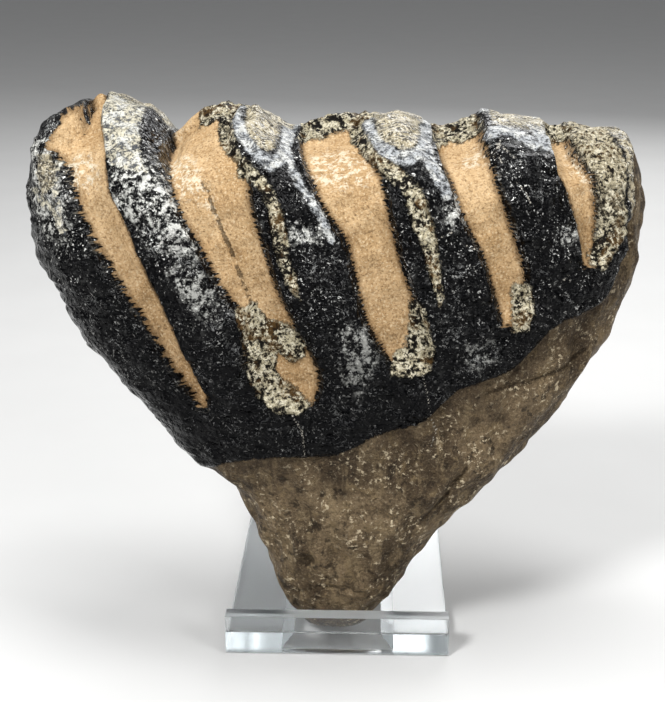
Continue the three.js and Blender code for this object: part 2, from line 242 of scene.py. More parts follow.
def smooth(start, end, value):
    """Rises from 0 at start to 1 at end as three times the square less twice the cube."""
    s = np.clip((np.asarray(value, float) - start) / (end - start), 0, 1)
    return s * s * (3 - 2 * s)


def waves(points, size, seed, count=14):
    """Soft random noise of about -1 to 1: a sum of plane cosine waves in seeded directions,
    with lengths of 0.7 to 1.5 times size."""
    draw = np.random.default_rng(seed)
    direction = draw.normal(size=(count, 3))
    direction /= np.linalg.norm(direction, axis=1)[:, None]
    length = size * draw.uniform(0.7, 1.5, count)
    phase = draw.uniform(0, 2 * math.pi, count)
    total = np.zeros(points.shape[:-1])
    for k in range(count):
        total += np.cos(points @ direction[k] * (2 * math.pi / length[k]) + phase[k])
    return total / math.sqrt(count)


def knots(height):
    """Twelve knots across the tooth at each height: its left side, ten valley edges and its
    right side. Up to FAN_HEIGHT the edges lie at fixed shares of the width."""
    left, right = through(LEFT_OUTLINE, height), through(RIGHT_OUTLINE, height)
    low_left, low_right = through(LEFT_OUTLINE, FAN_HEIGHT), through(RIGHT_OUTLINE, FAN_HEIGHT)
    rows = [left]
    for share, edge in zip(FAN_SHARES, VALLEY_EDGES):
        start = (FAN_HEIGHT, low_left + share * (low_right - low_left))
        upper = through((start,) + edge, height)
        rows.append(np.where(height <= FAN_HEIGHT, left + share * (right - left), upper))
    rows.append(right)
    return np.stack(rows)


def across_tooth(column, height):
    """Place across the tooth at a column, straight between the two knots beside it, the width
    between them, and the share of the way from the left one."""
    interval = np.minimum(column.astype(int), 10)
    along = column - interval
    k = knots(height)
    left = np.take_along_axis(k, interval[None], 0)[0]
    right = np.take_along_axis(k, interval[None] + 1, 0)[0]
    return left + along * (right - left), right - left, k[0], (k[11] - k[0]) / 2


def lumps(x, y, z):
    """Soft lumps, a sum of three slow waves."""
    return (
        0.42 * np.sin(0.31 * x + 0.12 * z + 1.3) * np.cos(0.27 * z - 0.19 * y)
        + 0.34 * np.sin(0.47 * z - 0.23 * x + 0.3 * y + 2.1)
        + 0.24 * np.cos(0.52 * x + 0.41 * z - 0.36 * y + 0.4)
    )


def row_height(share, crest):
    """Height of a row: close rows at the tip, even rows up the side, and rows over the crown
    that follow its rounding."""
    start = np.minimum(CROWN_ROUND_FROM, crest - 4)
    low = TIP_HEIGHT + (12 - TIP_HEIGHT) * np.clip(share, 0, 1) ** 1.6
    side = 12 + (start - 12) * np.clip(share - 1, 0, 1)
    turn = np.clip(share - 2, 0, 1) * math.pi / 2
    crown = start + (crest - start) * np.sin(turn) ** (2 / CROWN_ROUND_POWER)
    return np.where(share <= 1, low, np.where(share <= 2, side, crown))


def open_valley(valley, side, z):
    """0 below the lower end of a valley and 1 above it, for valley numbers 0 to 4."""
    ends = np.where(side > 0, np.take(BACK_ENDS, valley.clip(0, 4)), np.take(FRONT_ENDS, valley.clip(0, 4)))
    return np.where((valley < 0) | (valley > 4), 0.0, smooth(0, 1, (z - ends + 2) / 7)), ends


def tooth_form(column, share, side):
    """The worn molar as points over (column, share): a superellipse section about a leaning
    middle, with its knots across, closed over the crown by a second superellipse, and lifted or
    lowered along its outward direction by the plates, valleys and lumps."""
    interval = np.minimum(column.astype(int), 10)
    along = column - interval
    across_170, _, _, _ = across_tooth(column, np.full_like(column, 170.0))
    crest = through(CREST, across_170)
    z = row_height(share, crest)
    top = np.maximum(0, (z - CROWN_ROUND_FROM) / (crest - CROWN_ROUND_FROM))
    x, width, left, half = across_tooth(column, z)
    sway = 3 * np.sin(0.045 * z + 0.6 * column) * smooth(20, 70, z)
    sway *= (1 - top) * (1 - ((x - left) / half - 1) ** 2)
    x = np.where(side > 0, x + sway, x)
    offset = np.clip((x - left) / half - 1, -1, 1)
    size = np.abs(offset)
    girth = np.maximum(0, 1 - size ** SECTION_POWER) ** (1 / SECTION_POWER)
    round_top = np.maximum(0, 1 - top ** CROWN_ROUND_POWER) ** (1 / CROWN_ROUND_POWER)
    thickness = through(HALF_THICKNESS, z) * girth * round_top
    middle = TIP_Y + LEAN * (z - TIP_HEIGHT) + BOW * (x / 100) ** 2 * smooth(40, 120, z)
    y = middle + side * thickness + CREST_SETBACK * girth * top ** 2
    outward = np.stack([
        np.sign(offset) * size ** (SECTION_POWER - 1) * 40 / half,
        side * girth ** (SECTION_POWER - 1) * round_top,
        1.3 * top ** 3 - 0.8 * (1 - smooth(TIP_HEIGHT, 12, z)),
    ], -1)
    outward /= np.linalg.norm(outward, axis=-1)[..., None] + 1e-9
    points = np.stack([x, y, z], -1)
    return points, outward, dict(
        interval=interval, along=along, width=width, top=top, side=side, column=column,
        girth=girth, crest=crest,
    )


def plate_relief(points, facts):
    """Height over the plain form: valleys sink by VALLEY_DEPTH with soft floors, plates roll down
    to them over narrow flanks, and the root steps in under the enamel's edge."""
    x, y, z = points[..., 0], points[..., 1], points[..., 2]
    interval, along, side = facts["interval"], facts["along"], facts["side"]
    worn = facts["top"] ** 4
    rear_top = np.where(side > 0, worn * 0.5, 0)
    is_valley = interval % 2 == 1
    near = np.where(is_valley, (interval - 1) // 2, np.where(along < 0.5, interval // 2 - 1, interval // 2))
    opened, ends = open_valley(near, side, z)
    floor = 0.75 + 0.25 * np.sqrt(np.maximum(0, 4 * along * (1 - along)))
    edge = np.minimum(along, 1 - along)
    flank = 0.5 * (1 - smooth(0, 0.08, edge)) + 0.25 * (1 - smooth(0, 0.45, edge))
    valley = -VALLEY_DEPTH * opened * floor * (1 - rear_top)
    plate = -VALLEY_DEPTH * opened * flank * (1 - rear_top) - 1.4 * worn * smooth(0.15, 0.5, edge)
    enamel_height = z - through(ENAMEL_EDGE, x) - np.where(side > 0, 5 * np.sin(0.05 * x + 1), 0)
    enamel = smooth(-1.5, 1.5, enamel_height)
    root = 1.3 * lumps(0.7 * x, y, 0.6 * z) * smooth(2, 25, z)
    root -= ENAMEL_STEP * (1 - smooth(4, 26, through(ENAMEL_EDGE, x) - z))
    height = enamel * (np.where(is_valley, valley, plate) + 0.8 * lumps(x, y, z)) + (1 - enamel) * root
    return height, enamel_height, is_valley, near, ends


def inside_by(x, z, outline):
    """Distance in mm to a closed outline, above 0 inside it: the least distance to a side, with
    its sign from how many sides a line to the right crosses."""
    corners = np.asarray(outline, float)
    best = np.full(x.shape, 1e9)
    inside = np.zeros(x.shape, bool)
    for (ax, az), (bx, bz) in zip(corners, np.roll(corners, -1, 0)):
        dx, dz = bx - ax, bz - az
        s = np.clip(((x - ax) * dx + (z - az) * dz) / (dx * dx + dz * dz), 0, 1)
        best = np.minimum(best, np.hypot(x - ax - s * dx, z - az - s * dz))
        crosses = (az > z) != (bz > z)
        inside ^= crosses & (x < ax + (z - az) / (dz if dz else 1e-9) * dx)
    return np.where(inside, best, -best)


def line_distance(x, z, line):
    """Least distance in mm to an open line of straight pieces."""
    best = np.full(x.shape, 1e9)
    for (ax, az), (bx, bz) in zip(line, line[1:]):
        dx, dz = bx - ax, bz - az
        s = np.clip(((x - ax) * dx + (z - az) * dz) / (dx * dx + dz * dz), 0, 1)
        best = np.minimum(best, np.hypot(x - ax - s * dx, z - az - s * dz))
    return best


def patch_mask(x, z, outlines):
    """The greatest signed distance to a set of outlines, kept to 12 mm either way."""
    best = np.full(x.shape, -12.0)
    for outline in outlines:
        best = np.maximum(best, inside_by(x, z, outline))
    return np.clip(best, -12, 12)


def close_sides(upper, lower, quads):
    """Faces of a sheet from its cells: each cell on the upper side, the same turned over on the
    lower side, and a wall where an edge belongs to one cell only."""
    quads = np.asarray(quads)
    count = len(upper)
    edges = np.concatenate([quads[:, [i, (i + 1) % 4]] for i in range(4)])
    key = np.sort(edges, 1) @ np.array([count, 1])
    _, first, uses = np.unique(key, return_index=True, return_counts=True)
    rim = edges[first[uses == 1]]
    walls = np.stack([rim[:, 1], rim[:, 0], rim[:, 0] + count, rim[:, 1] + count], 1)
    faces = np.concatenate([quads, quads[:, ::-1] + count, walls])
    is_wall = np.zeros(len(faces))
    is_wall[len(quads) * 2:] = 1
    return np.concatenate([upper, lower]), faces, is_wall


def put_mesh(name, points_mm, faces, material):
    """A new object from points in mm and faces of one corner count, smooth shaded."""
    mesh = bpy.data.meshes.new(name)
    corners = faces.shape[1]
    mesh.vertices.add(len(points_mm))
    mesh.vertices.foreach_set("co", ((points_mm + ORIGIN) * MM).astype(np.float32).ravel())
    mesh.loops.add(faces.size)
    mesh.loops.foreach_set("vertex_index", faces.astype(np.int32).ravel())
    mesh.polygons.add(len(faces))
    mesh.polygons.foreach_set("loop_start", np.arange(0, faces.size, corners, dtype=np.int32))
    mesh.polygons.foreach_set("use_smooth", np.ones(len(faces), bool))
    mesh.update(calc_edges=True)
    mesh.validate()
    mesh.materials.append(material)
    thing = bpy.data.objects.new(name, mesh)
    bpy.context.scene.collection.objects.link(thing)
    return thing


def put_attribute(mesh, name, values, domain="POINT"):
    """Stores one number for each point or face under a name that the materials read."""
    data = mesh.attributes.new(name, "FLOAT", domain)
    data.data.foreach_set("value", np.asarray(values, np.float32).ravel())


def linear(colour):
    """A screen colour of 0 to 255 as linear light."""
    c = np.asarray(colour, float) / 255
    return tuple(np.where(c <= 0.04045, c / 12.92, ((c + 0.055) / 1.055) ** 2.4))


class Finish:
    """A material and short calls that add its nodes."""

    def __init__(self, name):
        self.material = bpy.data.materials.new(name)
        self.material.use_nodes = True
        self.tree = self.material.node_tree
        self.shader = self.tree.nodes["Principled BSDF"]
        self.place = self.node("ShaderNodeTexCoord").outputs["Object"]

    def node(self, kind, **settings):
        made = self.tree.nodes.new(kind)
        for key, value in settings.items():
            setattr(made, key, value)
        return made

    def feed(self, socket, value):
        if isinstance(value, bpy.types.NodeSocket):
            self.tree.links.new(value, socket)
        elif hasattr(socket.default_value, "__len__"):
            value = tuple(value)
            socket.default_value = value + (1,) if len(socket.default_value) == 4 and len(value) == 3 else value
        else:
            socket.default_value = value

    def attribute(self, name):
        return self.node("ShaderNodeAttribute", attribute_name=name).outputs["Fac"]

    def vector(self, name):
        return self.node("ShaderNodeAttribute", attribute_name=name).outputs["Vector"]

    def sum(self, operation, a, b=0.0, c=0.0):
        made = self.node("ShaderNodeMath", operation=operation)
        for socket, value in zip(made.inputs, (a, b, c)):
            self.feed(socket, value)
        return made.outputs[0]

    def step(self, value, start, end, low=0.0, high=1.0):
        if start > end:
            start, end, low, high = end, start, high, low
        made = self.node("ShaderNodeMapRange", interpolation_type="SMOOTHSTEP")
        for socket, number in zip(made.inputs, (value, start, end, low, high)):
            self.feed(socket, number)
        return made.outputs[0]

    def mix(self, share, a, b, kind="MIX"):
        made = self.node("ShaderNodeMix", data_type="RGBA", blend_type=kind)
        self.feed(made.inputs[0], share)
        self.feed(made.inputs[6], a)
        self.feed(made.inputs[7], b)
        return made.outputs[2]

    def blend(self, share, a, b):
        made = self.node("ShaderNodeMix", data_type="FLOAT")
        self.feed(made.inputs[0], share)
        self.feed(made.inputs[2], a)
        self.feed(made.inputs[3], b)
        return made.outputs[0]

    def scaled(self, vector, scale):
        made = self.node("ShaderNodeMapping", vector_type="POINT")
        self.feed(made.inputs["Vector"], vector)
        self.feed(made.inputs["Scale"], scale)
        return made.outputs[0]

    def noise(self, per_mm, detail=3.0, rough=0.55, vector=None, lift=0.0):
        made = self.node("ShaderNodeTexNoise")
        self.feed(made.inputs["Vector"], self.place if vector is None else vector)
        self.feed(made.inputs["Scale"], per_mm / MM if vector is None else per_mm)
        self.feed(made.inputs["Detail"], detail)
        self.feed(made.inputs["Roughness"], rough)
        self.feed(made.inputs["Distortion"], lift)
        return made.outputs[0]

    def cells(self, per_mm, vector=None, feature="F1"):
        made = self.node("ShaderNodeTexVoronoi", feature=feature)
        self.feed(made.inputs["Vector"], self.place if vector is None else vector)
        self.feed(made.inputs["Scale"], per_mm / MM if vector is None else per_mm)
        return made.outputs["Distance"]

    def bump(self, height, distance_mm, strength=1.0):
        made = self.node("ShaderNodeBump")
        self.feed(made.inputs["Strength"], strength)
        self.feed(made.inputs["Distance"], distance_mm * MM)
        self.feed(made.inputs["Height"], height)
        return made.outputs[0]


def tooth_finish(settings):
    """Fossil finish: dark glossy enamel, tan cement, brown root, grey crust, worn rings, dust and
    fine cracks. Each is chosen by a distance stored on the surface plus noise, so its edge is crisp
    and ragged."""
    f = Finish("fossil_tooth")
    plates = f.vector("plates")
    ragged = f.sum("SUBTRACT", f.noise(0.5, 4, 0.65), 0.5)
    fine = f.sum("SUBTRACT", f.noise(1.6, 3, 0.6), 0.5)
    edge_noise = f.sum("ADD", f.sum("MULTIPLY", ragged, 3.2), f.sum("MULTIPLY", fine, 2.4))

    def chosen(name, spread=0.5, reach=1.0, lift=0.0):
        value = f.sum("MULTIPLY_ADD", edge_noise, reach, f.attribute(name))
        return f.step(f.sum("ADD", value, lift), -spread, spread)

    tiny = f.noise(1.35, 3, 0.6)
    small = f.noise(0.62, 4, 0.66)
    medium = f.noise(0.24, 4, 0.66)
    broad = f.noise(0.06, 4, 0.6)
    # The border of cement and enamel is a fine comb across the plates
    stripes = f.noise(1.0, 2, 0.55, f.scaled(plates, (0.22, 0.95, 1.0)))
    comb = f.sum("MULTIPLY", f.sum("SUBTRACT", stripes, 0.5), 4.5)
    cement_here = chosen("cement", 0.25, 0.4, comb)
    enamel_here = chosen("enamel", 0.4, 0.7)
    crust_here = chosen("crust", 0.4, 0.9)
    wear_here = chosen("wear", 0.5, 0.6)
    inner_here = chosen("inner", 0.7, 0.8)
    dust_here = chosen("dust", 2.0, 2.2)
    mottle_here = chosen("mottle", 2.0, 2.4)
    mottle_near = f.step(f.attribute("mottle"), -11.0, 0.0)

    # Enamel: near black with pale flecks, thin curly marks, bloom and painted glints, most of them high up
    length_lines = f.noise(1.0, 3, 0.6, f.scaled(plates, (1.0, 0.12, 1.0)))
    patchy = f.step(f.noise(0.05, 3, 0.6), 0.46, 0.62)
    high_up = f.step(f.attribute("height"), 92.0, 165.0)
    lively = f.sum("MULTIPLY", f.sum("MAXIMUM", f.blend(patchy, 0.2, 0.8), mottle_near), f.blend(high_up, 0.2, 1.0))
    flecks = f.sum("MULTIPLY", f.step(f.noise(0.8, 4, 0.7), 0.61, 0.65), lively)
    curl = f.sum("ABSOLUTE", f.sum("SUBTRACT", f.noise(0.24, 3, 0.6, lift=1.5), 0.5))
    curl = f.sum("MULTIPLY", f.step(curl, 0.016, 0.005), f.step(f.noise(0.13, 4, 0.7), 0.55, 0.62))
    curl = f.sum("MULTIPLY", curl, f.sum("MULTIPLY_ADD", lively, 0.9, 0.1))
    bloom = f.sum("MULTIPLY", f.step(medium, 0.52, 0.64), f.step(small, 0.46, 0.58))
    bloom = f.sum("MULTIPLY", bloom, f.sum("MULTIPLY", lively, 0.5))
    enamel = f.mix(f.step(medium, 0.48, 0.68), linear(settings.enamel_dark), linear((8, 8, 9)))
    enamel = f.mix(bloom, enamel, linear((104, 104, 102)))
    teeth = f.sum("MULTIPLY", f.step(f.attribute("cement"), -1.9, -0.3), f.step(stripes, 0.55, 0.59))
    teeth = f.sum("MULTIPLY", teeth, f.step(medium, 0.46, 0.56))
    enamel = f.mix(f.sum("MULTIPLY", teeth, f.blend(high_up, 0.3, 0.7)), enamel, linear((150, 145, 134)))
    mottle = f.sum("MULTIPLY_ADD", f.noise(0.5, 5, 0.78), 0.7, f.sum("MULTIPLY", medium, 0.3))
    mottle = f.sum("MULTIPLY", f.step(mottle, 0.48, 0.57), f.blend(high_up, 0.28, 1.0))
    enamel = f.mix(f.sum("MULTIPLY", mottle_here, mottle), enamel, linear((196, 196, 190)))
    enamel = f.mix(f.sum("MULTIPLY", flecks, 0.9), enamel, linear((214, 213, 208)))
    enamel = f.mix(f.sum("MULTIPLY", curl, 0.8), enamel, linear((206, 207, 205)))
    # Painted glints: tiny near white spots in clusters, most of them high up, stand in for highlights on the glossy
    # enamel
    painted_glint_clusters = f.sum("MULTIPLY", f.step(f.noise(0.16, 3, 0.6), 0.48, 0.60), f.blend(high_up, 0.12, 0.9))
    painted_glints = f.sum("MULTIPLY", f.step(f.noise(1.0, 2, 0.6), 0.63, 0.66), painted_glint_clusters)
    enamel = f.mix(painted_glints, enamel, linear((240, 239, 234)))

    # Cement: warm tan with a fine grain, darker in clouds and along its length, with painted shade at its edges beside
    # the plates
    grain = f.noise(1.0, 4, 0.65, f.scaled(plates, (0.6, 0.12, 1.0)))
    cement = f.mix(f.step(broad, 0.35, 0.65), linear(settings.cement_light), linear(settings.cement_dark))
    cement = f.mix(f.sum("MULTIPLY", f.step(grain, 0.48, 0.64), 0.40), cement, linear((136, 106, 68)))
    cement = f.mix(f.sum("MULTIPLY", f.step(small, 0.52, 0.62), 0.45), cement, linear((122, 94, 62)))
    low_down = f.step(f.attribute("height"), 140.0, 112.0)
    cement = f.mix(f.sum("MULTIPLY", low_down, 0.32), cement, linear((116, 90, 60)))
    cement = f.mix(f.sum("MULTIPLY", f.step(tiny, 0.55, 0.64), 0.50), cement, linear((208, 188, 156)))
    cement = f.mix(f.sum("MULTIPLY", f.step(tiny, 0.43, 0.36), 0.60), cement, linear((92, 70, 46)))
    # Painted shade: the cement is darkened within about 2 mm of the plates that stand over it
    painted_edge_shade = f.step(f.sum("MULTIPLY_ADD", edge_noise, 0.5, f.attribute("cement")), 1.8, 0.2)
    cement = f.mix(f.sum("MULTIPLY", painted_edge_shade, 0.6), cement, linear((84, 62, 38)))
    dust_share = f.sum("MULTIPLY", dust_here, f.step(f.noise(0.45, 5, 0.75), 0.49, 0.56))
    cement = f.mix(f.sum("MULTIPLY", dust_share, 0.75), cement, linear((212, 202, 180)))

    # Root: brown, mottled, with long streaks, pale flecks, dark specks and a painted shadow under the enamel's edge
    root = f.mix(f.step(broad, 0.40, 0.60), linear(settings.root_dark), linear(settings.root_light))
    streak = f.noise(1.0, 4, 0.62, f.scaled(f.place, (200, 200, 34)))
    root = f.mix(f.sum("MULTIPLY", f.step(streak, 0.50, 0.62), 0.55), root, linear((140, 122, 94)))
    root = f.mix(f.sum("MULTIPLY", f.step(f.noise(0.12, 5, 0.72), 0.50, 0.60), 0.6), root, linear((52, 42, 32)))
    root = f.mix(f.sum("MULTIPLY", f.step(medium, 0.54, 0.64), 0.6), root, linear((128, 110, 82)))
    root = f.mix(f.sum("MULTIPLY", f.step(medium, 0.43, 0.36), 0.7), root, linear((38, 31, 24)))
    root = f.mix(f.sum("MULTIPLY", f.step(small, 0.44, 0.38), 0.4), root, linear((46, 38, 29)))
    pale = f.sum("MULTIPLY", f.step(small, 0.56, 0.62), f.step(f.noise(0.08, 4, 0.7), 0.44, 0.58))
    root = f.mix(f.sum("MULTIPLY", pale, 0.9), root, linear((206, 190, 160)))
    root = f.mix(f.sum("MULTIPLY", f.step(tiny, 0.57, 0.63), 0.22), root, linear((176, 160, 130)))
    root = f.mix(f.sum("MULTIPLY", f.step(tiny, 0.43, 0.37), 0.3), root, linear((40, 33, 25)))
    # Painted shadow: the root is darkened just under the overhanging enamel edge, fading over 18 mm downwards
    below = f.step(f.attribute("enamel"), -18.0, -0.5)
    root = f.mix(f.sum("MULTIPLY", below, 0.45), root, linear((44, 36, 28)))

    # Crust: grey yellow grains with dark gaps and painted highlights on the grains
    grains = f.sum("MULTIPLY_ADD", small, 0.55, f.sum("MULTIPLY", medium, 0.45))
    crust = f.mix(f.step(grains, 0.46, 0.53), linear((22, 19, 16)), linear(settings.crust_colour))
    rusty = f.step(f.noise(0.10, 4, 0.65), 0.52, 0.62)
    crust = f.mix(f.sum("MULTIPLY", rusty, 0.45), crust, linear((118, 88, 48)))
    right_end = f.step(f.attribute("across"), 74.0, 80.0)
    right_end = f.sum("MULTIPLY", right_end, f.step(f.attribute("height"), 143.0, 160.0))
    crust = f.mix(f.sum("MULTIPLY", right_end, f.step(small, 0.40, 0.48)), crust, linear((176, 165, 138)))
    # Painted highlights: pale spots on the crust's grains
    crust = f.mix(f.sum("MULTIPLY", f.step(small, 0.53, 0.59), 0.85), crust, linear((232, 224, 200)))
    crust = f.mix(f.sum("MULTIPLY", f.step(tiny, 0.45, 0.39), 0.8), crust, linear((24, 21, 18)))

    # Worn rings: pale grey with painted white highlights and dark specks, creamy on the first wide plate, and tan grey
    # inside
    wear_light = f.mix(f.step(f.attribute("across"), -56.0, -60.0), linear(settings.wear_colour), linear((190, 184, 164)))
    wear = f.mix(f.step(f.noise(0.5, 5, 0.75), 0.42, 0.54), linear((70, 72, 75)), wear_light)
    # Painted highlights: near white patches on the worn enamel
    wear = f.mix(f.sum("MULTIPLY", f.step(medium, 0.48, 0.60), 0.6), wear, linear((216, 216, 210)))
    wear = f.mix(f.sum("MULTIPLY", f.step(tiny, 0.47, 0.41), 0.8), wear, linear((40, 40, 40)))
    inner = f.mix(f.step(grains, 0.46, 0.53), linear((62, 57, 48)), linear((158, 148, 124)))
    inner = f.mix(f.sum("MULTIPLY", f.step(tiny, 0.54, 0.60), 0.8), inner, linear((208, 202, 184)))

    crown = f.mix(cement_here, enamel, cement)
    wear_share = f.sum("MULTIPLY", wear_here, f.blend(cement_here, 0.92, 0.0))
    crown = f.mix(wear_share, crown, wear)
    crown = f.mix(f.sum("MULTIPLY", inner_here, f.blend(cement_here, 0.95, 0.0)), crown, inner)
    body = f.mix(enamel_here, root, crown)
    body = f.mix(crust_here, body, crust)
    # Dark lines along the grooves, and painted shade in the pit, which shares their mark
    groove = f.step(f.sum("MULTIPLY_ADD", edge_noise, 0.6, f.attribute("groove")), 0.8, 0.2)
    groove = f.sum("MULTIPLY", groove, f.step(medium, 0.40, 0.52))
    body = f.mix(f.sum("MULTIPLY", groove, 0.7), body, linear((36, 28, 20)))
    crack = f.step(f.sum("MULTIPLY_ADD", fine, 1.6, f.attribute("crack")), 0.30, 0.05)
    body = f.mix(f.sum("MULTIPLY", crack, 0.6), body, linear((196, 190, 178)))
    f.feed(f.shader.inputs["Base Color"], body)

    # Gloss: enamel shines, the root is satin, cement and crust are dull
    gloss = f.blend(cement_here, f.blend(f.step(medium, 0.35, 0.6), 0.07, 0.15), 0.8)
    gloss = f.blend(wear_share, gloss, 0.40)
    gloss = f.blend(enamel_here, 0.45, gloss)
    gloss = f.blend(crust_here, gloss, 0.5)
    f.feed(f.shader.inputs["Roughness"], gloss)
    f.feed(f.shader.inputs["Specular IOR Level"], 0.08)

    # Fine relief in mm: smooth bumps on the enamel, so that it sparkles
    ridges = f.sum("MULTIPLY_ADD", stripes, 0.5, f.sum("MULTIPLY", length_lines, 0.4))
    ridges = f.sum("MULTIPLY_ADD", f.noise(0.22, 1, 0.5), 3.0, ridges)
    ridges = f.sum("MULTIPLY_ADD", f.noise(0.55, 1, 0.5), 1.5, ridges)
    dull = f.sum("MULTIPLY_ADD", medium, 1.2, f.sum("MULTIPLY", small, 1.0))
    rough_root = f.sum("MULTIPLY_ADD", medium, 4.0, f.sum("MULTIPLY", small, 2.6))
    rough_root = f.sum("MULTIPLY_ADD", streak, 0.8, rough_root)
    height = f.blend(cement_here, ridges, dull)
    height = f.blend(enamel_here, rough_root, height)
    grit = f.sum("MULTIPLY_ADD", small, 3.4, f.sum("MULTIPLY", tiny, 0.9))
    height = f.sum("MULTIPLY_ADD", crust_here, grit, height)
    height = f.sum("MULTIPLY_ADD", groove, -0.8, height)
    f.feed(f.shader.inputs["Normal"], f.bump(height, 1.0, 0.9))
    return f.material


def acrylic_finish(settings):
    """Clear bent sheet: plain transmission with a faint absorption, and frosted cut edges with
    fine scratches on the faces."""
    f = Finish("clear_acrylic")
    s = f.shader.inputs
    cut = f.attribute("cut")
    f.feed(s["Transmission Weight"], 1.0)
    f.feed(s["IOR"], 1.49)
    f.feed(s["Base Color"], linear(settings.colour))
    scratch = f.noise(1.0, 3, 0.7, f.scaled(f.place, (1400, 90, 300)))
    scratch = f.step(scratch, 0.67, 0.72)
    smudge = f.step(f.noise(0.05, 4, 0.6), 0.5, 0.75)
    face = f.sum("MULTIPLY_ADD", scratch, 0.25, f.sum("MULTIPLY", smudge, 0.05))
    f.feed(s["Roughness"], f.blend(cut, f.sum("ADD", face, 0.015), settings.cut_roughness))
    f.feed(s["Normal"], f.bump(f.noise(2.0, 3, 0.6), 0.05, 0.3))
    volume = f.node("ShaderNodeVolumeAbsorption")
    volume.inputs["Color"].default_value = linear((214, 228, 232)) + (1,)
    volume.inputs["Density"].default_value = 6.0
    f.tree.links.new(volume.outputs[0], f.tree.nodes["Material Output"].inputs["Volume"])
    return f.material


def tooth_columns():
    """Columns across the tooth, 0 to 11: even within plates and valleys, and closer at both ends,
    where the section turns fastest."""
    counts = (30, 18, 26, 20, 26, 20, 26, 18, 26, 12, 24)
    rows = []
    for i, count in enumerate(counts):
        s = np.arange(count) / count
        if i == 0:
            s = s ** 1.7
        if i == 10:
            s = 1 - (1 - s) ** 1.7
        rows.append(i + s)
    return np.concatenate(rows + [np.array([11.0])])


def tooth_profile():
    """Rows from the root tip up the front, over the crown and down the back, as a share of 0 to 3
    and a side of -1 or 1."""
    front = np.concatenate([np.arange(12) / 12, 1 + np.arange(126) / 126, 2 + np.arange(53) / 52])
    share = np.concatenate([front, front[-2::-1]])
    side = np.concatenate([np.full(len(front), -1.0), np.full(len(front) - 1, 1.0)])
    return share, side


class ToothSettings(bpy.types.PropertyGroup):
    """Sizes and colours of the tooth."""

    enamel_dark: FloatVectorProperty(name="Enamel", description="Dark enamel colour, 0 to 255", size=3, default=(4, 4, 5))
    cement_light: FloatVectorProperty(name="Cement", description="Light cement colour, 0 to 255", size=3, default=(190, 161, 122))
    cement_dark: FloatVectorProperty(name="Cement shade", description="Darker cement colour, 0 to 255", size=3, default=(168, 138, 99))
    root_light: FloatVectorProperty(name="Root", description="Light root colour, 0 to 255", size=3, default=(118, 101, 78))
    root_dark: FloatVectorProperty(name="Root shade", description="Darker root colour, 0 to 255", size=3, default=(72, 60, 46))
    crust_colour: FloatVectorProperty(name="Crust", description="Crust colour, 0 to 255", size=3, default=(188, 178, 150))
    wear_colour: FloatVectorProperty(name="Worn enamel", description="Worn enamel colour, 0 to 255", size=3, default=(168, 171, 173))
    crust_height: FloatProperty(name="Crust height", description="How far the crust stands up", default=0.9 * MM, unit="LENGTH")
    wrinkle_height: FloatProperty(name="Wrinkle height", description="Height of the enamel's wrinkles", default=0.34 * MM, unit="LENGTH")


class StandSettings(bpy.types.PropertyGroup):
    """Sizes and finish of the stand."""

    width: FloatProperty(name="Width", description="Width of the sheet", default=75 * MM, unit="LENGTH")
    depth: FloatProperty(name="Depth", description="Depth of the base", default=120 * MM, unit="LENGTH")
    sheet: FloatProperty(name="Sheet", description="Thickness of the sheet", default=5.7 * MM, unit="LENGTH")
    lip: FloatProperty(name="Lip", description="Height of the front lip", default=13.9 * MM, unit="LENGTH")
    bevel: FloatProperty(name="Edge", description="Rounding of the cut edges", default=0.3 * MM, unit="LENGTH")
    cut_roughness: FloatProperty(name="Cut edges", description="Roughness of the cut edges", default=0.32, min=0, max=1)
    colour: FloatVectorProperty(name="Colour", description="Sheet colour, 0 to 255", size=3, default=(250, 252, 253))


class StageSettings(bpy.types.PropertyGroup):
    """Floor, lights and camera."""

    floor_colour: FloatVectorProperty(name="Floor", description="Floor colour, 0 to 255", size=3, default=(200, 200, 199))
    key_power: FloatProperty(name="Key light", description="Power of the key light", default=15.0, unit="POWER")
    fill_power: FloatProperty(name="Fill light", description="Power of the fill light", default=6.0, unit="POWER")
    lens: FloatProperty(name="Lens", description="Focal length of the camera", default=70.8)


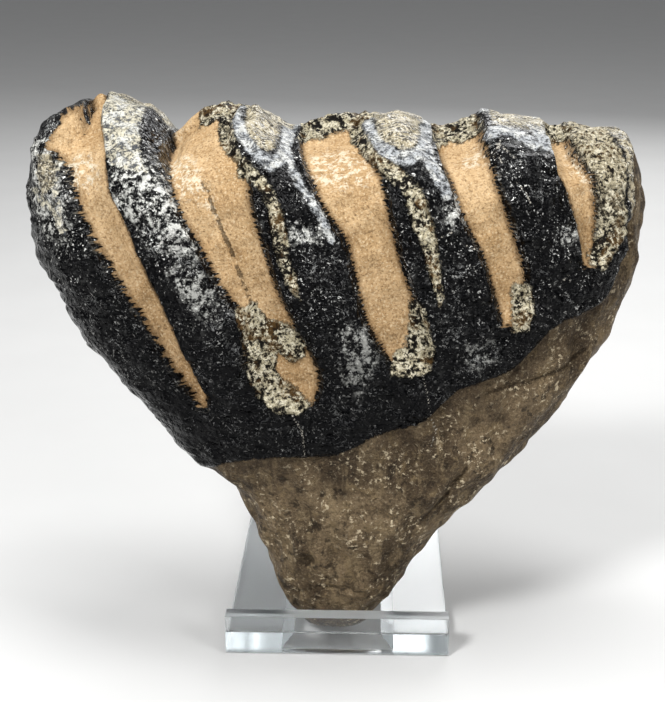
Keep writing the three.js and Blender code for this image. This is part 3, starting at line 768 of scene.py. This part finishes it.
class FOSSIL_OT_tooth(bpy.types.Operator):
    """Builds the mammoth tooth: one closed surface with its plates, valleys, crust and root."""

    bl_idname = "fossil.tooth"
    bl_label = "Build tooth"

    def execute(self, context):
        settings = context.scene.fossil_tooth
        share, side = tooth_profile()
        columns = tooth_columns()
        column, share = np.meshgrid(columns, share, indexing="ij")
        side = np.broadcast_to(side, column.shape).copy()
        side[0], side[-1] = -1.0, -1.0
        side[share == 0] = -1.0
        points, outward, facts = tooth_form(column, share, side)
        height, enamel_mm, is_valley, near, ends = plate_relief(points, facts)
        x, z = points[..., 0], points[..., 2]
        width, along, top = facts["width"], facts["along"], facts["top"]

        # Distance in mm to the nearest valley edge, above 0 in a valley
        _, above, _, _ = across_tooth(column, z + 1)
        here = x
        there, _, _, _ = across_tooth(column, z + 1)
        slant = 1 / np.sqrt(1 + np.clip(there - here, -2, 2) ** 2)
        edge_mm = np.minimum(along, 1 - along) * width * slant
        only_right = facts["interval"] == 0
        only_left = facts["interval"] == 10
        edge_mm = np.where(only_right, (1 - along) * width * slant, edge_mm)
        edge_mm = np.where(only_left, along * width * slant, edge_mm)
        low_end = z - ends
        cement = np.where(is_valley, np.minimum(edge_mm, low_end), -np.maximum(edge_mm, 0.001))
        cement = np.where(~is_valley & (low_end < 0), np.minimum(cement, low_end), cement)
        cement = np.maximum(cement, np.where(side > 0, -12.0, patch_mask(x, z, CEMENT_PATCHES)))

        wander = np.where(side > 0, 3.0 * waves(points, 26, 3), 0.0)
        crust = patch_mask(x, z, CRUST_PATCHES) + wander
        wear = patch_mask(x, z, WEAR_PATCHES) + wander
        for line, half_width in WEAR_BANDS:
            wear = np.maximum(wear, half_width - line_distance(x, z, line) + wander)
        inner = patch_mask(x, z, INNER_PATCHES) + wander
        dust = patch_mask(x, z, DUST_PATCHES) + wander
        mottle = patch_mask(x, z, MOTTLE_PATCHES) + wander
        island = np.where(is_valley, -12.0, np.minimum(edge_mm - 4, (top - 0.93) * 70))
        island = np.where((facts["interval"] > 0) & (side > 0), island, -12.0)
        inner = np.maximum(inner, island)
        wear = np.maximum(wear, island + 3)
        front_only = np.where(side > 0, 20, 0)
        crack = np.min([line_distance(x, z, line) for line in CRACKS], 0) + front_only
        groove = np.min([line_distance(x, z, line) for line in GROOVES], 0) + front_only
        pit = np.hypot(x + 10, z - 34) + front_only

        # The tops of the wide valleys dip in front of a lumpy rim, and the second is lowest at its left
        rim_place = facts["crest"] - z
        rim = 4.5 * (0.6 - rim_place) + np.where(side > 0, 3.0, 0.0) + 1.5 * waves(points, 11, 42)
        rim = np.minimum(rim, np.where(is_valley, edge_mm, -edge_mm) + 0.8 + 1.2 * waves(points, 8, 43))
        rim = np.where(near > 0, rim, -12.0)
        rim = np.clip(np.minimum(rim, np.where(near == 1, x + 48, 12.0)), -12, 12)
        crust = np.maximum(crust, rim)
        height -= np.where(is_valley & (side < 0), 2.0 * (1 - smooth(6, 18, rim_place)) * (1 - smooth(-2, 1, rim)), 0)
        height += 1.2 * smooth(-1, 2, rim) * (0.6 + 0.4 * waves(points, 7, 41))

        # Fine relief: wrinkles on enamel, grains on the crust, soft dents on cement and root
        on_crust = smooth(-0.8, 0.8, crust + 0.8 * waves(points, 3.5, 11))
        on_enamel = smooth(-1, 1, enamel_mm) * smooth(-0.4, 0.6, -cement)
        wrinkle = settings.wrinkle_height / MM
        plates = np.stack([
            along * width * slant + facts["interval"] * 20, z * 1.25, side * 40,
        ], -1)
        height += on_enamel * wrinkle * waves(plates * np.array([0.35, 1.0, 1.0]), 3.2, 21)
        height += on_enamel * 0.35 * waves(points, 9, 22)
        height += (1 - on_enamel) * 0.22 * waves(points, 6, 23)
        height += (1 - smooth(-1, 1, enamel_mm)) * 0.5 * waves(points * np.array([1, 1, 0.4]), 8, 24)
        grain = 1 - np.abs(waves(points, 4.2, 31))
        height += on_crust * settings.crust_height / MM * (0.7 + 0.6 * grain + 0.3 * waves(points, 2.3, 32))
        height -= 1.3 * on_crust * top ** 4
        height -= 0.9 * smooth(0, 1, 1 - groove / 2.2)
        height -= 1.8 * smooth(0, 1, 1 - pit / 4.5)
        # Painted shade: the pit's middle is added to the groove mark, so the finish colours it dark
        groove = np.minimum(groove, np.maximum(pit - 2.4, 0))
        pocket = np.hypot(x + 11.5, z - 103) + front_only
        height -= 1.6 * smooth(0, 1, 1 - pocket / 5.0)
        fade = smooth(TIP_HEIGHT, 12, z)
        base_height, _, _, _, _ = plate_relief(points, facts)
        height = base_height + (height - base_height) * fade
        surface = points + outward * height[..., None]

        # The two ends and the tip close on themselves
        rows, count = column.shape
        index = np.arange(rows * count).reshape(rows, count)
        a, b = index[:-1, :-1], index[1:, :-1]
        faces = np.stack([a, b, index[1:, 1:], index[:-1, 1:]], -1).reshape(-1, 4)
        material = tooth_finish(settings)
        tooth = put_mesh("mammoth_tooth_fine", surface.reshape(-1, 3), faces, material)
        named = dict(
            cement=cement, enamel=enamel_mm, crust=crust, wear=wear, inner=inner, dust=dust,
            mottle=mottle, crack=crack, groove=groove, height=z, across=x,
        )
        for name, values in named.items():
            put_attribute(tooth.data, name, values)
        across = tooth.data.attributes.new("plates", "FLOAT_VECTOR", "POINT")
        across.data.foreach_set("vector", plates.astype(np.float32).ravel())
        merge_close(tooth.data, 0.002 * MM)
        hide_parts("mammoth_tooth")
        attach(tooth, "root")
        return {"FINISHED"}


def merge_close(mesh, distance):
    """Joins points in one place, drops faces without area and turns faces outwards."""
    import bmesh
    work = bmesh.new()
    work.from_mesh(mesh)
    bmesh.ops.remove_doubles(work, verts=work.verts, dist=distance)
    bmesh.ops.dissolve_degenerate(work, edges=work.edges, dist=distance)
    bmesh.ops.recalc_face_normals(work, faces=work.faces)
    work.to_mesh(mesh)
    work.free()
    mesh.update()


def arc(centre, radius, start, end, count):
    """Points (y, z) of a circle's arc from one angle to another."""
    turn = np.linspace(start, end, count)
    return np.stack([centre[0] + radius * np.cos(turn), centre[1] + radius * np.sin(turn)], 1)


class FOSSIL_OT_stand(bpy.types.Operator):
    """Builds the stand: one clear sheet with a front lip, a window and a tongue bent up from it."""

    bl_idname = "fossil.stand"
    bl_label = "Build stand"

    def execute(self, context):
        settings = context.scene.fossil_stand
        sheet, lip = settings.sheet / MM, settings.lip / MM
        half, depth = settings.width / MM / 2, settings.depth / MM
        window = WINDOW_TOP_WIDTH / 2
        tongue = window - 0.5

        # Side profile of lip and base: (y, z) of the upper and the lower face of the sheet
        bend = sheet + BEND_INSIDE
        upper_bend = arc((bend, bend), BEND_INSIDE, math.pi, 1.5 * math.pi, 9)
        lower_bend = arc((1.2, 1.2), 1.2, math.pi, 1.5 * math.pi, 9)
        levels = np.array([lip, lip * 0.8, bend + 0.8])
        stations = np.array([12, 20, 30, 40, 48, REST_BEND_Y, 70, 85, 100, 112, 115])
        corner = depth - REAR_CORNER + REAR_CORNER * np.sin(np.linspace(0, math.pi / 2, 9)[1:])
        stations = np.concatenate([stations, corner])
        upper = np.concatenate([
            np.stack([np.full(3, sheet), levels], 1), upper_bend,
            np.stack([stations, np.full(len(stations), sheet)], 1),
        ])
        lower = np.concatenate([
            np.stack([np.zeros(3), levels], 1), lower_bend,
            np.stack([stations, np.zeros(len(stations))], 1),
        ])
        upper_y_window = 3 + len(upper_bend) - 1
        window_end = 3 + len(upper_bend) + int(np.where(stations == REST_BEND_Y)[0][0])
        # The window's front edge: the last row of the bend lies at its front wall
        lower[upper_y_window, 0] = WINDOW_FRONT
        upper[upper_y_window, 0] = max(upper[upper_y_window, 0], WINDOW_FRONT + 0.5)

        across = np.array([-half, -30, -22, -window, -tongue, -7, 0, 7, tongue, window, 22, 30, half])
        lower_across = across.copy()
        lower_across[[3, 9]] = [-window - WINDOW_FLARE, window + WINDOW_FLARE]

        def face(profile, places, flare):
            y, z = profile[:, 0], profile[:, 1]
            over = np.clip((y - (depth - REAR_CORNER)) / REAR_CORNER, 0, 1)
            width = (half - REAR_CORNER + REAR_CORNER * np.sqrt(1 - over ** 2)) / half
            x = places[None, :] * width[:, None]
            return np.stack([x, np.broadcast_to(y[:, None], x.shape), np.broadcast_to(z[:, None], x.shape)], -1)

        top = face(upper, across, False)
        bottom = face(lower, across, False)
        rows = np.arange(len(upper))
        flared = (rows >= upper_y_window) & (rows <= window_end)
        bottom[flared, 3, 0] = -window - WINDOW_FLARE
        bottom[flared, 9, 0] = window + WINDOW_FLARE
        count = len(across)
        index = np.arange(len(upper) * count).reshape(len(upper), count)
        cells = np.stack([index[:-1, :-1], index[:-1, 1:], index[1:, 1:], index[1:, :-1]], -1)
        kept = np.ones(cells.shape[:2], bool)
        kept[upper_y_window:window_end, 3:9] = False
        quads = cells[kept]

        # Tongue: from the window's rear edge round its bend and up
        inner, outer = REST_BEND_INSIDE, REST_BEND_INSIDE + sheet
        centre = (REST_BEND_Y, sheet + inner)
        length = REST_BEND_Y - WINDOW_FRONT - (math.pi / 2 + REST_LEAN) * (inner + sheet / 2)
        up = np.array([math.sin(REST_LEAN), math.cos(REST_LEAN)])
        climb = np.linspace(0, length, 9)[1:, None] * up[None, :]
        start, end = -math.pi / 2, -math.pi - REST_LEAN
        behind = arc(centre, inner, start, end, 15)
        before = arc(centre, outer, start, end, 15)
        behind = np.concatenate([behind, behind[-1] + climb])[1:]
        before = np.concatenate([before, before[-1] + climb])[1:]
        places = across[4:9]

        def strip(profile):
            x = np.broadcast_to(places[None, :], (len(profile), len(places)))
            y = np.broadcast_to(profile[:, :1], x.shape)
            z = np.broadcast_to(profile[:, 1:], x.shape)
            return np.stack([x, y, z], -1)

        top_points = np.concatenate([top.reshape(-1, 3), strip(behind).reshape(-1, 3)])
        bottom_points = np.concatenate([bottom.reshape(-1, 3), strip(before).reshape(-1, 3)])
        extra = np.arange(len(behind) * len(places)).reshape(len(behind), len(places)) + index.size
        ladder = np.concatenate([index[window_end:window_end + 1, 4:9], extra])
        steps = np.stack([ladder[1:, :-1], ladder[1:, 1:], ladder[:-1, 1:], ladder[:-1, :-1]], -1).reshape(-1, 4)
        points, faces, is_wall = close_sides(top_points, bottom_points, np.concatenate([quads, steps]))
        stand = put_mesh("acrylic_stand_fine", points, faces, acrylic_finish(settings))
        put_attribute(stand.data, "cut", is_wall, "FACE")
        drop_loose(stand.data)
        edge = stand.modifiers.new("edge", "BEVEL")
        edge.width = settings.bevel
        edge.segments = 2
        edge.limit_method = "ANGLE"
        edge.angle_limit = math.radians(40)
        edge.harden_normals = True
        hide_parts("acrylic_stand")
        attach(stand, "root")
        return {"FINISHED"}


def drop_loose(mesh):
    """Removes points that no face uses and turns faces outwards."""
    import bmesh
    work = bmesh.new()
    work.from_mesh(mesh)
    loose = [v for v in work.verts if not v.link_faces]
    bmesh.ops.delete(work, geom=loose, context="VERTS")
    bmesh.ops.recalc_face_normals(work, faces=work.faces)
    work.to_mesh(mesh)
    work.free()
    mesh.update()


def area_light(name, place, aim, width, height, power):
    """A soft rectangular light at a place, turned to its aim."""
    data = bpy.data.lights.new(name, "AREA")
    data.shape = "RECTANGLE"
    data.size, data.size_y = width, height
    data.energy = power
    lamp = bpy.data.objects.new(name, data)
    bpy.context.scene.collection.objects.link(lamp)
    lamp.location = place
    lamp.rotation_euler = (Vector(aim) - Vector(place)).to_track_quat("-Z", "Y").to_euler()
    return lamp


class FOSSIL_OT_stage(bpy.types.Operator):
    """Builds the pale floor, the soft lights and the camera."""

    bl_idname = "fossil.stage"
    bl_label = "Build stage"

    def execute(self, context):
        settings = context.scene.fossil_stage
        finish = Finish("pale_floor")
        shade = finish.noise(0.02, 3, 0.5)
        colour = linear(settings.floor_colour)
        darker = tuple(c * 0.94 for c in colour)
        finish.feed(finish.shader.inputs["Base Color"], finish.mix(shade, colour, darker))
        finish.feed(finish.shader.inputs["Roughness"], 0.6)
        reach, under = 6000.0, -0.1
        corners = np.array([[-reach, -reach, under], [reach, -reach, under], [reach, reach, under], [-reach, reach, under]])
        floor = put_mesh("floor", corners - ORIGIN * [1, 1, 0], np.array([[0, 1, 2, 3]]), finish.material)

        world = bpy.data.worlds.new("studio")
        world.use_nodes = True
        background = world.node_tree.nodes["Background"]
        background.inputs["Color"].default_value = linear((232, 233, 235)) + (1,)
        background.inputs["Strength"].default_value = 0.3
        context.scene.view_settings.view_transform = "Standard"
        # Light that runs inside the clear sheet turns back more often than the usual limits allow
        context.scene.cycles.max_bounces = 20
        context.scene.cycles.glossy_bounces = 14
        context.scene.cycles.transmission_bounces = 16
        context.scene.world = world
        aim = (0.0, -0.02, 0.10)
        area_light("key", (-0.5, -0.75, 0.95), aim, 0.28, 0.24, settings.key_power)
        area_light("fill", (0.85, -0.75, 0.6), aim, 0.4, 0.4, settings.fill_power)
        area_light("top", (0.05, 0.05, 1.1), aim, 0.7, 0.3, settings.key_power * 0.6)
        area_light("rear", (0.3, 0.9, 0.6), aim, 0.7, 0.5, settings.fill_power * 0.7)

        data = bpy.data.cameras.new("camera")
        data.lens = settings.lens
        data.sensor_fit = "AUTO"
        data.sensor_width = 36
        data.clip_start, data.clip_end = 0.01, 20
        camera = bpy.data.objects.new("camera", data)
        context.scene.collection.objects.link(camera)
        yaw, pitch, roll = math.radians(-1.87), math.radians(17.91), math.radians(-0.13)
        ahead = Vector((math.sin(yaw) * math.cos(pitch), math.cos(yaw) * math.cos(pitch), -math.sin(pitch)))
        right = Vector((math.cos(yaw), -math.sin(yaw), 0))
        up = right.cross(ahead)
        level_right = right * math.cos(roll) + up * math.sin(roll)
        level_up = up * math.cos(roll) - right * math.sin(roll)
        place = (np.array([12.2, -411.2, 240.7]) + ORIGIN) * MM
        turned = Matrix((level_right, level_up, -ahead)).transposed().to_4x4()
        camera.matrix_world = Matrix.Translation(Vector(place)) @ turned
        context.scene.camera = camera
        return {"FINISHED"}


class FOSSIL_PT_panel(bpy.types.Panel):
    """Lists the pieces of the fossil and its stage."""

    bl_label = "Fossil"
    bl_idname = "FOSSIL_PT_panel"
    bl_space_type = "VIEW_3D"
    bl_region_type = "UI"
    bl_category = "Fossil"

    def draw(self, context):
        for group, operator in GROUPS:
            box = self.layout.box()
            settings = getattr(context.scene, group)
            for name in settings.__annotations__:
                box.prop(settings, name)
            box.operator(operator)


GROUPS = (
    ("fossil_tooth", "fossil.tooth"),
    ("fossil_stand", "fossil.stand"),
    ("fossil_stage", "fossil.stage"),
)
CLASSES = (
    ToothSettings, StandSettings, StageSettings,
    FOSSIL_OT_tooth, FOSSIL_OT_stand, FOSSIL_OT_stage, FOSSIL_PT_panel,
)


def register():
    for item in CLASSES:
        bpy.utils.register_class(item)
    bpy.types.Scene.fossil_tooth = PointerProperty(type=ToothSettings)
    bpy.types.Scene.fossil_stand = PointerProperty(type=StandSettings)
    bpy.types.Scene.fossil_stage = PointerProperty(type=StageSettings)


def unregister():
    for group, _ in GROUPS:
        delattr(bpy.types.Scene, group)
    for item in reversed(CLASSES):
        bpy.utils.unregister_class(item)


def main():
    """Builds every piece in order."""
    register()
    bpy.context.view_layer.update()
    bpy.ops.fossil.stage()
    bpy.ops.fossil.tooth()
    bpy.ops.fossil.stand()
    bpy.context.view_layer.update()


if __name__ == "__main__":
    main()
